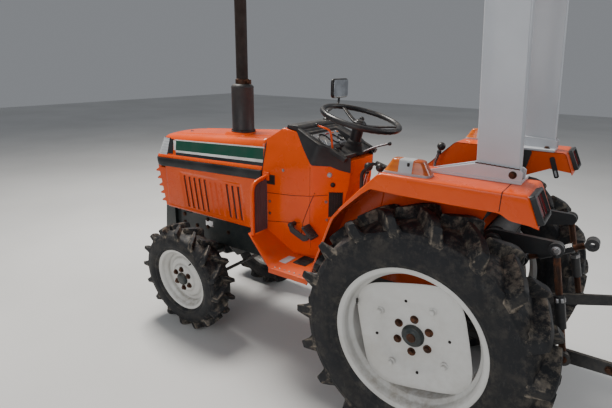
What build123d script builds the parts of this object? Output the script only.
from build123d import *
import os
from math import atan2, cos, degrees, hypot, radians, sin, tan
from typing import NamedTuple

# Compact four-wheel-drive farm tractor with a two-post roll bar and a three-point linkage.
# All sizes are in millimetres. +X is forward, +Y is the tractor's left, +Z is up.
# Everything is drawn from the point on the ground under the rear axle, and the last
# step moves it so that the origin is on the ground at the middle of the tractor's length.
# The right-hand pieces are the left-hand ones mirrored about the centre plane.

# Clearances
SEAT_GAP = 0.2      # between fixed pieces on a curved seat
RUN_GAP = 0.3       # round a shaft or a pin that turns
FACE_GAP = 1.0      # between the end faces of turning pieces
PANEL_GAP = 3.0     # seams between sheet-metal panels

SHEET = 3.0         # fenders, steps and guards
HOOD_WALL = 4.0     # bonnet, side panels and cowl with their turned edges
PLATE = 12.0        # frame and roll-bar plates


class WheelSize(NamedTuple):
    """One size of wheel, drawn about its own centre with the axle along +Y, outboard."""

    tip_radius: float       # lug tips
    crown_radius: float     # carcass between the lugs
    shoulder_radius: float  # carcass at the edge of the tread
    half_tread: float       # lug ends
    flat_tread: float       # half the width over which the lugs keep their full height
    shoulder_drop: float    # radius lost at the lug ends
    half_bulge: float       # widest half width of the sidewall
    lugs: int               # on each half of the tread
    lug_half: float         # half the lug's length round the tyre, at its root
    lug_sweep: float        # how far the lug end trails its inner end
    lug_draft: float        # draft of the lug's flanks in degrees
    lug_phase: float        # angle of the first left-hand lug from straight down
    flange_radius: float    # rim flange
    seat_radius: float      # bead seat
    half_rim: float         # over the flanges
    well_radius: float      # drop centre
    half_well: float
    rim_wall: float


REAR = WheelSize(
    tip_radius=460, crown_radius=420, shoulder_radius=398, half_tread=105, flat_tread=55,
    shoulder_drop=14, half_bulge=103, lugs=18, lug_half=29, lug_sweep=92, lug_draft=6,
    lug_phase=2.0, flange_radius=273, seat_radius=254, half_rim=89, well_radius=238,
    half_well=42, rim_wall=4,
)
FRONT = WheelSize(
    tip_radius=285, crown_radius=261, shoulder_radius=249, half_tread=66, flat_tread=38,
    shoulder_drop=8, half_bulge=66, lugs=16, lug_half=19.5, lug_sweep=52, lug_draft=6,
    lug_phase=4.0, flange_radius=168, seat_radius=152, half_rim=51, well_radius=138,
    half_well=22, rim_wall=3.5,
)

# Axles
WHEELBASE = 1280.0
REAR_WHEEL_Y = 411.0
FRONT_WHEEL_Y = 342.0
CAMBER = 5.0
REAR_AXLE_Z = REAR.tip_radius
FRONT_AXLE_Z = FRONT.tip_radius * cos(radians(CAMBER)) + FRONT.flat_tread * sin(radians(CAMBER))
REAR_DISC_FACE = 30.0      # outboard face of the disc's centre, from the wheel's centre plane
FRONT_DISC_FACE = 36.0
DISC_THICK = 8.0
REAR_SHAFT_RADIUS = 28.0
FRONT_SHAFT_RADIUS = 20.0

# Front axle: a beam above the wheel centres, with a swivelling case hung at each end
KINGPIN_Y = 262.0
KINGPIN_RADIUS = 22.0
BEAM_LIFT = 80.0           # beam above the wheel centres
BEAM_RADIUS = 30.0
BULGE_RADIUS = 56.0
SWIVEL_RADIUS = 42.0
STEER_ARM = 95.0           # kingpin to tie-rod eye, along X
STEER_ARM_IN = 12.0        # eye inboard of the kingpin
STEER_ARM_LOW = 2.0        # underside of the arm above the wheel centre
TIE_ROD_RADIUS = 9.0

# Chassis
CASE_HALF = 115.0          # gear case half width
CASE_REAR_X = -205.0
CASE_TOP_Z = 640.0
CASE_LOW_Z = 330.0
CLUTCH_X = 560.0           # joint of gear case and clutch housing
ENGINE_REAR_X = 880.0      # joint of clutch housing and engine
ENGINE_FRONT_X = 1395.0
ENGINE_HALF = 116.0
ENGINE_LOW_Z = 430.0
ENGINE_TOP_Z = 900.0
RAIL_OUTER_Y = 117.0
RAIL_LOW_Z = 400.0
RAIL_TOP_Z = 560.0
FRONT_END_X = 1688.0
BLOCK_HALF = 140.0         # front weight bracket

# Bonnet, side panels and cowl
HOOD_REAR_X = 870.0
HOOD_REAR_TOP_Z = 1030.0
HOOD_FRONT_TOP_Z = 976.0
HOOD_TOP_X = 1606.0        # top edge of the nose
HOOD_NOSE_X = 1648.0       # foremost line of the nose, at the belt
HOOD_CHIN_X = 1592.0       # foot of the side panels
HOOD_LOW_Z = 588.0
HOOD_TOP_HALF = 178.0
HOOD_BELT_HALF = 216.0
HOOD_LOW_HALF = 208.0
HOOD_CROWN = 14.0          # rise of the roof at the centre line
NOSE_RADIUS = 52.0
SHOULDER_RADIUS = 22.0     # along both edges of the roof
BELT_REAR_Z = 890.0        # top of the belt at the cowl
BELT_FRONT_Z = 862.0       # top of the belt at the nose
BELT_HIGH = 46.0
BELT_PROUD = 7.0
LAMP_REAR_X = 1544.0
LAMP_LOW_Z = 880.0
LAMP_TOP_Z = 961.0
LAMP_DEEP = 26.0

COWL_REAR_X = 462.0
COWL_SHOULDER_X = 612.0    # plan corner where the flank turns in
COWL_SHOULDER_HALF = 194.0
COWL_REAR_HALF = 98.0
COWL_WAIST_Z = 800.0       # below it the rear face is set back
COWL_WAIST_X = 556.0
COWL_TOP_X = 784.0
COWL_TOP_Z = 1088.0
DASH_FRONT_X = 704.0
DASH_FRONT_Z = 1074.0
DASH_REAR_Z = 966.0
DASH_HOOD_Z = 1105.0       # flat top of the instrument hood
DASH_THICK = 12.0

# Exhaust
STACK_X = 1127.0
STACK_Y = 50.0
MUFFLER_RADIUS = 56.0
MUFFLER_HIGH = 235.0
STACK_RADIUS = 29.0
STACK_TOP_Z = 1640.0
STACK_BEND = 75.0
NECK_RADIUS = 24.0

# Steps and leg guards
FLOOR_Z = 515.0
FLOOR_OUTER_Y = 395.0
FLOOR_REAR_X = 500.0
TOE_FOOT_X = 690.0         # foot of the sloping toe board
TOE_TOP_X = 858.0
TOE_TOP_Z = 618.0
TOE_OUTER_Y = 332.0
GUARD_X = 862.0
GUARD_TUBE = 10.0

# Fenders, deck and seat
FENDER_IN_Y = 285.0
FENDER_OUT_Y = 500.0
FENDER_TOP_Z = 1035.0
FENDER_TAIL_X = -304.0
DECK_Z = 775.0
DECK_FRONT_X = 330.0
DECK_REAR_X = -110.0
SEAT_HINGE_X = 262.0
SEAT_HINGE_Z = 800.0

# Roll bar
ROPS_OUT_Y = 377.0
ROPS_THICK = 45.0
ROPS_DEEP = 126.0
ROPS_FOOT_X = -192.0       # middle of the post's foot
ROPS_LEAN = 4.0
ROPS_TOP_Z = 1960.0
ROPS_CORNER = 110.0
ROPS_LEG_Y = 283.0         # outer face of the leg inside the fender

# Steering
WHEEL_X = 480.0
WHEEL_Z = 1140.0
WHEEL_TILT = 14.0
WHEEL_RING = 172.0
WHEEL_GRIP = 13.0
COLUMN_RADIUS = 26.0

# Three-point linkage
ROCK_X = -170.0
ROCK_Z = 780.0
ROCK_RADIUS = 24.0
ARM_LENGTH = 200.0
ARM_RISE = 5.0             # arm above level at rest
ARM_Y = 185.0
ARM_THICK = 20.0
LINK_X = -112.0
LINK_Z = 400.0
LINK_Y = 150.0
LINK_REACH = 600.0         # pivot to ball end, in side view
LINK_RISE = 8.4
LINK_END_Y = 300.0
LINK_ROD_AT = 340.0        # pivot to the lift rod's eye, in side view
LINK_THICK = 14.0
LINK_DEEP = 46.0
LINK_PIN = 11.0
ROD_PIN = 9.0
BALL_RADIUS = 27.0
BALL_BORE = 11.2
TOP_LINK_X = -248.0
TOP_LINK_Z = 665.0
TOP_LINK_LENGTH = 240.0
TOP_LINK_RISE = 27.0
TOP_LINK_PIN = 9.3
TOP_LINK_EAR = 12.0        # thickness of each ear of its bracket
TOP_LINK_GAP = 50.0        # between the ears
PTO_Z = 470.0
PTO_RADIUS = 17.5
PTO_END_X = -290.0
HITCH_BORE = 11.0
HITCH_X = -325.0           # hole in the drawbar jaws


def side_plane(y):
    """XZ plane at the lateral place y, from which extrusions run to the right, towards -Y."""
    return Plane.XZ.offset(-y)


def hood_top(x):
    """Height of the hood's top edge at x."""
    slope = (HOOD_FRONT_TOP_Z - HOOD_REAR_TOP_Z) / (HOOD_TOP_X - HOOD_REAR_X)
    return HOOD_REAR_TOP_Z + slope * (x - HOOD_REAR_X)


def belt_top(x):
    """Height of the belt's top edge at x."""
    slope = (BELT_FRONT_Z - BELT_REAR_Z) / (HOOD_NOSE_X - HOOD_REAR_X)
    return BELT_REAR_Z + slope * (x - HOOD_REAR_X)


def dash_top(x):
    """Height of the sloping instrument face at x."""
    slope = (DASH_FRONT_Z - DASH_REAR_Z) / (DASH_FRONT_X - COWL_REAR_X)
    return DASH_REAR_Z + slope * (x - COWL_REAR_X)


def toe_top(x):
    """Height of the sloping toe board's upper face at x."""
    return FLOOR_Z + (TOE_TOP_Z - FLOOR_Z) * (x - TOE_FOOT_X) / (TOE_TOP_X - TOE_FOOT_X)


# Wheels


def make_tyre(size):
    """Agricultural tyre: a solid carcass with two staggered rows of slanting lugs."""
    bead = size.half_rim - size.rim_wall - SEAT_GAP
    bead_seat = size.seat_radius + SEAT_GAP
    over_flange = size.flange_radius + 3
    bulge_radius = (size.flange_radius + size.shoulder_radius) / 2
    shoulder = size.half_tread - 10
    lug_root = 0.5 * (bulge_radius + size.shoulder_radius) - 16
    inner_end = -8.0
    bend = 0.45 * size.half_tread
    with BuildPart() as lug:
        with BuildSketch(Plane.XY.offset(lug_root)):
            Polygon(
                (inner_end, -size.lug_half),
                (bend, 0.5 * size.lug_sweep - size.lug_half),
                (size.half_tread + 5, size.lug_sweep - size.lug_half),
                (size.half_tread + 5, size.lug_sweep + size.lug_half),
                (bend, 0.6 * size.lug_sweep + size.lug_half),
                (inner_end, size.lug_half),
                align=None,
            )
        extrude(amount=size.tip_radius + 5 - lug_root, taper=size.lug_draft)
        with BuildSketch(Plane.XZ):
            Polygon(
                (inner_end - 5, lug_root - 40),
                (inner_end - 5, size.tip_radius),
                (size.flat_tread, size.tip_radius),
                (size.half_tread, size.tip_radius - size.shoulder_drop),
                (size.half_tread, size.shoulder_radius - 10),
                (size.half_bulge - 3, lug_root),
                (size.half_bulge - 3, lug_root - 40),
                align=None,
            )
        revolve(axis=Axis.X, mode=Mode.INTERSECT)
    # The lug is drawn with its width along X; turned so that it lies along the axle.
    left_lug = lug.part.rotate(Axis.Z, 90)
    right_lug = left_lug.mirror(Plane.XZ)
    pitch = 360 / size.lugs
    start = 180 + size.lug_phase
    left_turns = [Location((0, 0, 0), (0, start + pitch * i, 0)) for i in range(size.lugs)]
    right_turns = [
        Location((0, 0, 0), (0, start + pitch * (i + 0.5), 0)) for i in range(size.lugs)
    ]
    with BuildPart() as tyre:
        with BuildSketch(Plane.YZ):
            with BuildLine():
                Line((-bead, over_flange), (-bead, bead_seat))
                Line((-bead, bead_seat), (bead, bead_seat))
                Line((bead, bead_seat), (bead, over_flange))
                ThreePointArc(
                    (bead, over_flange),
                    (size.half_bulge, bulge_radius),
                    (shoulder, size.shoulder_radius),
                )
                ThreePointArc(
                    (shoulder, size.shoulder_radius),
                    (0, size.crown_radius),
                    (-shoulder, size.shoulder_radius),
                )
                ThreePointArc(
                    (-shoulder, size.shoulder_radius),
                    (-size.half_bulge, bulge_radius),
                    (-bead, over_flange),
                )
            make_face()
        revolve(axis=Axis.Y)
        with Locations(*left_turns):
            add(left_lug)
        with Locations(*right_turns):
            add(right_lug)
    return tyre.part


def rim_profile(size):
    """Closed outline of the rim's section, as width and radius pairs."""
    wall = size.rim_wall
    inside = size.seat_radius - wall
    slope = 12.0
    left = [
        (-size.half_rim, inside),
        (-size.half_rim, size.flange_radius),
        (-size.half_rim + wall, size.flange_radius),
        (-size.half_rim + wall, size.seat_radius),
        (-size.half_well - slope, size.seat_radius),
        (-size.half_well, size.well_radius),
    ]
    right = [(-w, r) for w, r in reversed(left)]
    back = [
        (size.half_well + slope - wall, inside),
        (size.half_well - wall, size.well_radius - wall),
        (-size.half_well + wall, size.well_radius - wall),
        (-size.half_well - slope + wall, inside),
    ]
    return left + right + back


def make_rear_wheel():
    """Rear rim with its four-sided disc, hub flange and axle shaft, as one rigid piece."""
    size = REAR
    face = REAR_DISC_FACE
    dish = 16.0
    flat_out = 200.0       # flats of the disc, from the centre
    flat_turn = -13.5      # of the flats, from the wheel's own X
    weld_radius = size.well_radius - 2
    with BuildPart() as wheel:
        with BuildSketch(Plane.YZ):
            Polygon(*rim_profile(size), align=None)
        revolve(axis=Axis.Y)
    with BuildPart() as disc:
        with BuildSketch(Plane.YZ):
            Polygon(
                (face - DISC_THICK, 0), (face, 0), (face, 104), (face + dish, 148),
                (face + dish, 205), (face + dish - 10, weld_radius),
                (face + dish - 10 - DISC_THICK, weld_radius),
                (face + dish - DISC_THICK, 203), (face + dish - DISC_THICK, 152),
                (face - DISC_THICK, 108),
                align=None,
            )
        revolve(axis=Axis.Y)
        with BuildSketch(side_plane(face + dish + 5)):
            Rectangle(2 * flat_out, 2 * flat_out, rotation=flat_turn)
        extrude(amount=2 * dish + DISC_THICK + 20, mode=Mode.INTERSECT)
        # Pilot holes, and the bosses for wheel weights between them
        with BuildSketch(side_plane(face + dish + 5)):
            with PolarLocations(135, 4, start_angle=flat_turn):
                Circle(6)
        extrude(amount=2 * dish + DISC_THICK + 20, mode=Mode.SUBTRACT)
        with BuildSketch(side_plane(face + dish + 8)):
            with PolarLocations(140, 4, start_angle=flat_turn + 41.5):
                Circle(9)
        extrude(amount=20)
    with BuildPart() as hub:
        with BuildSketch(Plane.YZ):
            Polygon(
                (-100, 0), (face + 20, 0), (face + 20, 26), (face + 14, 34), (face, 38),
                (face - DISC_THICK, 38), (face - DISC_THICK, 78), (face - DISC_THICK - 11, 78),
                (face - DISC_THICK - 11, 52), (-10, 52), (-10, REAR_SHAFT_RADIUS),
                (-100, REAR_SHAFT_RADIUS),
                align=None,
            )
        revolve(axis=Axis.Y)
    with BuildPart() as whole:
        add(wheel.part)
        add(disc.part)
        add(hub.part)
    return whole.part


def make_front_wheel():
    """Front rim with its stepped disc, hub and stub shaft, as one rigid piece."""
    size = FRONT
    face = FRONT_DISC_FACE
    weld_radius = size.well_radius - 2
    with BuildPart() as wheel:
        with BuildSketch(Plane.YZ):
            Polygon(*rim_profile(size), align=None)
        revolve(axis=Axis.Y)
    with BuildPart() as disc:
        with BuildSketch(Plane.YZ):
            Polygon(
                (face - DISC_THICK, 0), (face, 0), (face, 72), (face - 14, 84), (face - 14, 104),
                (face - 30, 116), (face - 30, weld_radius),
                (face - 30 - DISC_THICK, weld_radius), (face - 30 - DISC_THICK, 112),
                (face - 14 - DISC_THICK, 100), (face - 14 - DISC_THICK, 80),
                (face - DISC_THICK, 68),
                align=None,
            )
        revolve(axis=Axis.Y)
        with BuildSketch(side_plane(face + 5)):
            with PolarLocations(94, 4, start_angle=45):
                Circle(7)
        extrude(amount=60, mode=Mode.SUBTRACT)
    with BuildPart() as hub:
        with BuildSketch(Plane.YZ):
            Polygon(
                (-42, 0), (face + 26, 0), (face + 26, 22), (face + 20, 30), (face, 32),
                (face - DISC_THICK, 32), (face - DISC_THICK, 62), (face - DISC_THICK - 9, 62),
                (face - DISC_THICK - 9, 45), (12, 45), (12, FRONT_SHAFT_RADIUS),
                (-42, FRONT_SHAFT_RADIUS),
                align=None,
            )
        revolve(axis=Axis.Y)
    with BuildPart() as whole:
        add(wheel.part)
        add(disc.part)
        add(hub.part)
    return whole.part


# Chassis


def make_front_axle():
    """Beam with its differential bulge, pivot trunnions, kingpins and the drive tube behind it."""
    beam_z = FRONT_AXLE_Z + BEAM_LIFT
    end_low = FRONT_AXLE_Z + SWIVEL_RADIUS + FACE_GAP
    with BuildPart() as axle:
        with BuildSketch(Plane.YZ):
            Polygon(
                (-KINGPIN_Y, 0), (-KINGPIN_Y, BEAM_RADIUS - 3), (-90, BEAM_RADIUS),
                (-62, BULGE_RADIUS - 7), (-20, BULGE_RADIUS), (20, BULGE_RADIUS),
                (62, BULGE_RADIUS - 7), (90, BEAM_RADIUS), (KINGPIN_Y, BEAM_RADIUS - 3),
                (KINGPIN_Y, 0),
                align=None,
            )
        revolve(axis=Axis.Y)
    with BuildPart() as whole:
        with Locations((WHEELBASE, 0, beam_z)):
            add(axle.part)
        # Trunnions along the tractor, on which the beam hangs from the frame
        with Locations(Location((WHEELBASE - 88, 0, beam_z), (0, 90, 0))):
            Cylinder(30, 176, align=(Align.CENTER, Align.CENTER, Align.MIN))
        # Drive tube from the gear case
        with Locations(Location((CLUTCH_X, 0, beam_z), (0, 90, 0))):
            Cylinder(24, WHEELBASE - 60 - CLUTCH_X, align=(Align.CENTER, Align.CENTER, Align.MIN))
        for side in (1, -1):
            with Locations((WHEELBASE, side * KINGPIN_Y, end_low)):
                Cylinder(40, beam_z + 42 - end_low, align=(Align.CENTER, Align.CENTER, Align.MIN))
            with Locations((WHEELBASE, side * KINGPIN_Y, FRONT_AXLE_Z - 18)):
                Cylinder(KINGPIN_RADIUS, 80, align=(Align.CENTER, Align.CENTER, Align.MIN))
    return whole.part


def make_knuckle():
    """Left swivelling case: kingpin barrel, final-drive case along the wheel's axis, steering arm."""
    barrel_low = FRONT_AXLE_Z - 50
    hub_line = Location((WHEELBASE, FRONT_WHEEL_Y, FRONT_AXLE_Z), (-CAMBER, 0, 0))
    arm_z = FRONT_AXLE_Z + STEER_ARM_LOW
    arm_thick = 16.0
    with BuildPart() as case:
        with BuildSketch(Plane.YZ):
            Polygon(
                (-88, 0), (-88, 36), (-37, 36), (-27, 58), (-14, 58), (10, 46), (10, 0),
                align=None,
            )
        revolve(axis=Axis.Y)
    with BuildPart() as shaft_bore:
        with BuildSketch(Plane.YZ):
            Polygon(
                (-44, 0), (20, 0), (20, FRONT_SHAFT_RADIUS + RUN_GAP),
                (-44, FRONT_SHAFT_RADIUS + RUN_GAP),
                align=None,
            )
        revolve(axis=Axis.Y)
    with BuildPart() as knuckle:
        with Locations((WHEELBASE, KINGPIN_Y, barrel_low)):
            Cylinder(
                SWIVEL_RADIUS, FRONT_AXLE_Z + SWIVEL_RADIUS - barrel_low,
                align=(Align.CENTER, Align.CENTER, Align.MIN),
            )
        with Locations(hub_line):
            add(case.part)
        with BuildSketch(Plane.XY.offset(arm_z)):
            with BuildLine():
                Polyline(
                    (WHEELBASE, KINGPIN_Y + 26),
                    (WHEELBASE - STEER_ARM, KINGPIN_Y - STEER_ARM_IN + 18),
                    (WHEELBASE - STEER_ARM, KINGPIN_Y - STEER_ARM_IN - 18),
                    (WHEELBASE, KINGPIN_Y - 26),
                    close=True,
                )
            make_face()
            with Locations((WHEELBASE - STEER_ARM, KINGPIN_Y - STEER_ARM_IN)):
                Circle(18)
        extrude(amount=arm_thick)
        with Locations((WHEELBASE, KINGPIN_Y, FRONT_AXLE_Z - 22)):
            Cylinder(
                KINGPIN_RADIUS + RUN_GAP, 100,
                align=(Align.CENTER, Align.CENTER, Align.MIN), mode=Mode.SUBTRACT,
            )
        with Locations(hub_line):
            add(shaft_bore.part, mode=Mode.SUBTRACT)
    return knuckle.part


def make_tie_rod():
    """Rod behind the beam that joins the two steering arms, with a flat eye under each arm."""
    eye_x = WHEELBASE - STEER_ARM
    eye_y = KINGPIN_Y - STEER_ARM_IN
    eye_top = FRONT_AXLE_Z + STEER_ARM_LOW - RUN_GAP
    eye_high = 2 * TIE_ROD_RADIUS + 4
    with BuildPart() as rod:
        with Locations(Location((eye_x, -eye_y, eye_top - eye_high / 2), (-90, 0, 0))):
            Cylinder(TIE_ROD_RADIUS, 2 * eye_y, align=(Align.CENTER, Align.CENTER, Align.MIN))
        with Locations((eye_x, eye_y, eye_top), (eye_x, -eye_y, eye_top)):
            Cylinder(15, eye_high, align=(Align.CENTER, Align.CENTER, Align.MAX))
    return rod.part


def make_front_frame(panel_inner):
    """Rails beside the engine, axle hangers, weight bracket and the side panels' support."""
    beam_z = FRONT_AXLE_Z + BEAM_LIFT
    support_x = HOOD_CHIN_X - 70
    # Upper half of the support, cut to the inner faces of the side panels
    with BuildPart() as support:
        with Locations((support_x, 0, HOOD_LOW_Z)):
            Box(PLATE, 2 * HOOD_BELT_HALF, 52, align=(Align.CENTER, Align.CENTER, Align.MIN))
        add(panel_inner, mode=Mode.INTERSECT)
    rail_in = RAIL_OUTER_Y - PLATE
    bracket_x = FRONT_END_X - 92
    with BuildPart() as frame:
        for side in (1, -1):
            with BuildSketch(side_plane(side * RAIL_OUTER_Y if side > 0 else -rail_in)):
                Polygon(
                    (ENGINE_REAR_X - 60, RAIL_LOW_Z + 40), (ENGINE_REAR_X + 40, RAIL_LOW_Z),
                    (bracket_x + 4, RAIL_LOW_Z), (bracket_x + 4, RAIL_TOP_Z),
                    (ENGINE_REAR_X - 60, RAIL_TOP_Z),
                    align=None,
                )
            extrude(amount=PLATE)
        # Weight bracket: a plate box across the nose, with rounded top corners
        with BuildSketch(Plane.XZ.offset(-BLOCK_HALF)):
            Polygon(
                (bracket_x, RAIL_LOW_Z - 5), (FRONT_END_X, RAIL_LOW_Z + 5),
                (FRONT_END_X - 18, RAIL_TOP_Z), (bracket_x, RAIL_TOP_Z + 12),
                align=None,
            )
        extrude(amount=2 * BLOCK_HALF)
        # Cross members
        for x in (ENGINE_FRONT_X + 45, bracket_x - 60):
            with Locations((x, 0, RAIL_TOP_Z - 40)):
                Box(PLATE, 2 * rail_in + 2, 60)
        add(support.part)
        with Locations((support_x, 0, RAIL_TOP_Z - 20)):
            Box(
                PLATE, 2 * RAIL_OUTER_Y - 2, HOOD_LOW_Z - RAIL_TOP_Z + 30,
                align=(Align.CENTER, Align.CENTER, Align.MIN),
            )
        # Hangers for the beam's trunnions
        for x in (WHEELBASE - 84, WHEELBASE + 72):
            with BuildSketch(Plane.YZ.offset(x)):
                Polygon(
                    (-RAIL_OUTER_Y + 1, ENGINE_LOW_Z - 3), (RAIL_OUTER_Y - 1, ENGINE_LOW_Z - 3),
                    (RAIL_OUTER_Y - 1, RAIL_LOW_Z + 5), (46, beam_z - 46), (-46, beam_z - 46),
                    (-RAIL_OUTER_Y + 1, RAIL_LOW_Z + 5),
                    align=None,
                )
                with Locations((0, beam_z)):
                    Circle(30 + RUN_GAP, mode=Mode.SUBTRACT)
            extrude(amount=PLATE)
    return frame.part


def make_engine_block():
    """The engine as one plain block with its sump and rocker cover."""
    with BuildPart() as engine:
        with BuildSketch(Plane.YZ.offset(ENGINE_REAR_X)):
            Polygon(
                (-70, ENGINE_LOW_Z), (70, ENGINE_LOW_Z), (RAIL_OUTER_Y - PLATE - 5, 480),
                (RAIL_OUTER_Y - PLATE - 5, 575), (ENGINE_HALF, 600), (ENGINE_HALF, 820),
                (70, ENGINE_TOP_Z), (-70, ENGINE_TOP_Z), (-ENGINE_HALF, 820),
                (-ENGINE_HALF, 600), (-RAIL_OUTER_Y + PLATE + 5, 575),
                (-RAIL_OUTER_Y + PLATE + 5, 480),
                align=None,
            )
        extrude(amount=ENGINE_FRONT_X - ENGINE_REAR_X)
    return engine.part


def make_radiator():
    """Radiator core and tanks behind the grille, standing on the frame's front cross member."""
    core_x = ENGINE_FRONT_X + 42
    with BuildPart() as radiator:
        with Locations((core_x, 0, RAIL_TOP_Z)):
            Box(36, 330, 320, align=(Align.MIN, Align.CENTER, Align.MIN))
        for z in (RAIL_TOP_Z, RAIL_TOP_Z + 310):
            with Locations((core_x - 8, 0, z)):
                Box(52, 340, 36, align=(Align.MIN, Align.CENTER, Align.MIN))
    return radiator.part


def make_transmission():
    """Clutch housing and gear case, bolted flange to flange, with the deck pads on top."""
    with BuildPart() as case:
        with BuildSketch(side_plane(CASE_HALF)):
            Polygon(
                (CASE_REAR_X, CASE_LOW_Z + 40), (CASE_REAR_X + 60, CASE_LOW_Z),
                (CLUTCH_X, CASE_LOW_Z + 30), (CLUTCH_X, CASE_TOP_Z - 45),
                (300, CASE_TOP_Z - 45), (255, CASE_TOP_Z), (CASE_REAR_X, CASE_TOP_Z),
                align=None,
            )
        extrude(amount=2 * CASE_HALF)
        chamfer(case.edges().filter_by(Axis.X).group_by(Axis.Z)[0], 22)
    with BuildPart() as bell:
        with BuildSketch(Plane.YZ.offset(CLUTCH_X)):
            with Locations((0, CASE_LOW_Z + 145)):
                RectangleRounded(2 * CASE_HALF - 40, 215, 40)
        with BuildSketch(Plane.YZ.offset(ENGINE_REAR_X)):
            with Locations((0, CASE_LOW_Z + 190)):
                RectangleRounded(2 * RAIL_OUTER_Y - 2 * PLATE - 12, 270, 60)
        loft()
    with BuildPart() as whole:
        add(case.part)
        add(bell.part)
        # Flanges at the two bolted joints
        with BuildSketch(Plane.YZ.offset(CLUTCH_X - 14)):
            with Locations((0, CASE_LOW_Z + 145)):
                RectangleRounded(2 * CASE_HALF + 12, 250, 40)
        extrude(amount=28)
        with BuildSketch(Plane.YZ.offset(ENGINE_REAR_X - 16)):
            with Locations((0, CASE_LOW_Z + 190)):
                RectangleRounded(2 * RAIL_OUTER_Y - 2 * PLATE, 290, 60)
        extrude(amount=16)
        # Bore for the drive tube's tail, and the socket of the power take-off shaft
        with Locations(Location((CLUTCH_X - 15, 0, FRONT_AXLE_Z + BEAM_LIFT), (0, 90, 0))):
            Cylinder(
                24 + SEAT_GAP, ENGINE_REAR_X - CLUTCH_X + 40,
                align=(Align.CENTER, Align.CENTER, Align.MIN), mode=Mode.SUBTRACT,
            )
        # Pivot pins of the lower links, in their bosses low on each side
        for side in (1, -1):
            with Locations(Location((LINK_X, side * (CASE_HALF - 2), LINK_Z), (-90 * side, 0, 0))):
                Cylinder(24, 22, align=(Align.CENTER, Align.CENTER, Align.MIN))
                Cylinder(
                    LINK_PIN, LINK_Y + LINK_THICK / 2 + 8 - CASE_HALF + 2,
                    align=(Align.CENTER, Align.CENTER, Align.MIN),
                )
    return whole.part


def make_rear_axle():
    """Brake housings and axle tubes on both sides of the gear case, with their end flanges."""
    outer = REAR_WHEEL_Y - 11          # face against which the hub runs
    with BuildPart() as tube:
        with BuildSketch(Plane.YZ):
            Polygon(
                (CASE_HALF, 0), (CASE_HALF, 94), (CASE_HALF + 14, 94), (CASE_HALF + 18, 86),
                (CASE_HALF + 60, 82), (CASE_HALF + 85, 56), (outer - 70, 48), (outer - 20, 50),
                (outer - 14, 66), (outer, 66), (outer, REAR_SHAFT_RADIUS + RUN_GAP),
                (outer - 95, REAR_SHAFT_RADIUS + RUN_GAP), (outer - 95, 0),
                align=None,
            )
        revolve(axis=Axis.Y)
    left_tube = tube.part
    right_tube = left_tube.mirror(Plane.XZ)
    with BuildPart() as axle:
        with Locations((0, 0, REAR_AXLE_Z)):
            add(left_tube)
            add(right_tube)
        # Pads on which the roll bar's legs stand
        for side in (1, -1):
            with Locations((0, side * (ROPS_LEG_Y - PLATE / 2), REAR_AXLE_Z + 40)):
                Box(150, 60, 25, align=(Align.CENTER, Align.CENTER, Align.MIN))
    return axle.part


def make_hydraulic_case():
    """Lift housing on the gear case, with the barrel in which the rockshaft turns."""
    half = 92.0
    with BuildPart() as case:
        with BuildSketch(side_plane(half)):
            Polygon(
                (CASE_REAR_X - 8, CASE_TOP_Z), (120, CASE_TOP_Z), (120, CASE_TOP_Z + 60),
                (70, CASE_TOP_Z + 112), (ROCK_X + 20, CASE_TOP_Z + 118),
                (ROCK_X - 40, CASE_TOP_Z + 118), (CASE_REAR_X - 8, CASE_TOP_Z + 60),
                align=None,
            )
        extrude(amount=2 * half)
        with Locations(Location((ROCK_X, -half - 60, ROCK_Z), (-90, 0, 0))):
            Cylinder(42, 2 * half + 120, align=(Align.CENTER, Align.CENTER, Align.MIN))
        with Locations(Location((ROCK_X, -half - 70, ROCK_Z), (-90, 0, 0))):
            Cylinder(
                ROCK_RADIUS + RUN_GAP, 2 * half + 140,
                align=(Align.CENTER, Align.CENTER, Align.MIN), mode=Mode.SUBTRACT,
            )
    return case.part


def make_rear_hitch():
    """Top-link bracket with its pin on the back of the case, and the drawbar's two jaws."""
    face_x = CASE_REAR_X
    pin_reach = TOP_LINK_GAP / 2 + TOP_LINK_EAR + 6
    with BuildPart() as hitch:
        with BuildSketch(Plane.YZ.offset(face_x - 12)):
            with Locations((0, CASE_TOP_Z - 36)):
                Rectangle(110, 70)
        extrude(amount=12)
        for y in (TOP_LINK_GAP / 2 + TOP_LINK_EAR, -TOP_LINK_GAP / 2):
            with BuildSketch(side_plane(y)):
                Polygon(
                    (face_x - 11, CASE_TOP_Z - 70), (TOP_LINK_X - 6, TOP_LINK_Z - 22),
                    (TOP_LINK_X - 20, TOP_LINK_Z - 6), (TOP_LINK_X - 20, TOP_LINK_Z + 12),
                    (TOP_LINK_X - 6, TOP_LINK_Z + 22), (TOP_LINK_X + 18, TOP_LINK_Z + 22),
                    (face_x - 11, CASE_TOP_Z - 2),
                    align=None,
                )
            extrude(amount=TOP_LINK_EAR)
        with Locations(Location((TOP_LINK_X, -pin_reach, TOP_LINK_Z), (-90, 0, 0))):
            Cylinder(TOP_LINK_PIN, 2 * pin_reach, align=(Align.CENTER, Align.CENTER, Align.MIN))
        # Drawbar: a back plate with two flat jaws, bored for the hitch pin
        with BuildSketch(Plane.YZ.offset(face_x - 12)):
            with Locations((0, CASE_LOW_Z + 62)):
                Rectangle(130, 54)
        extrude(amount=12)
        for z in (CASE_LOW_Z + 44, CASE_LOW_Z + 72):
            with BuildSketch(Plane.XY.offset(z)):
                Polygon(
                    (face_x - 11, 50), (face_x - 11, -50), (HITCH_X - 26, -30),
                    (HITCH_X - 26, 30),
                    align=None,
                )
                with Locations((HITCH_X, 0)):
                    Circle(HITCH_BORE, mode=Mode.SUBTRACT)
            extrude(amount=10)
    return hitch.part


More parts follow.
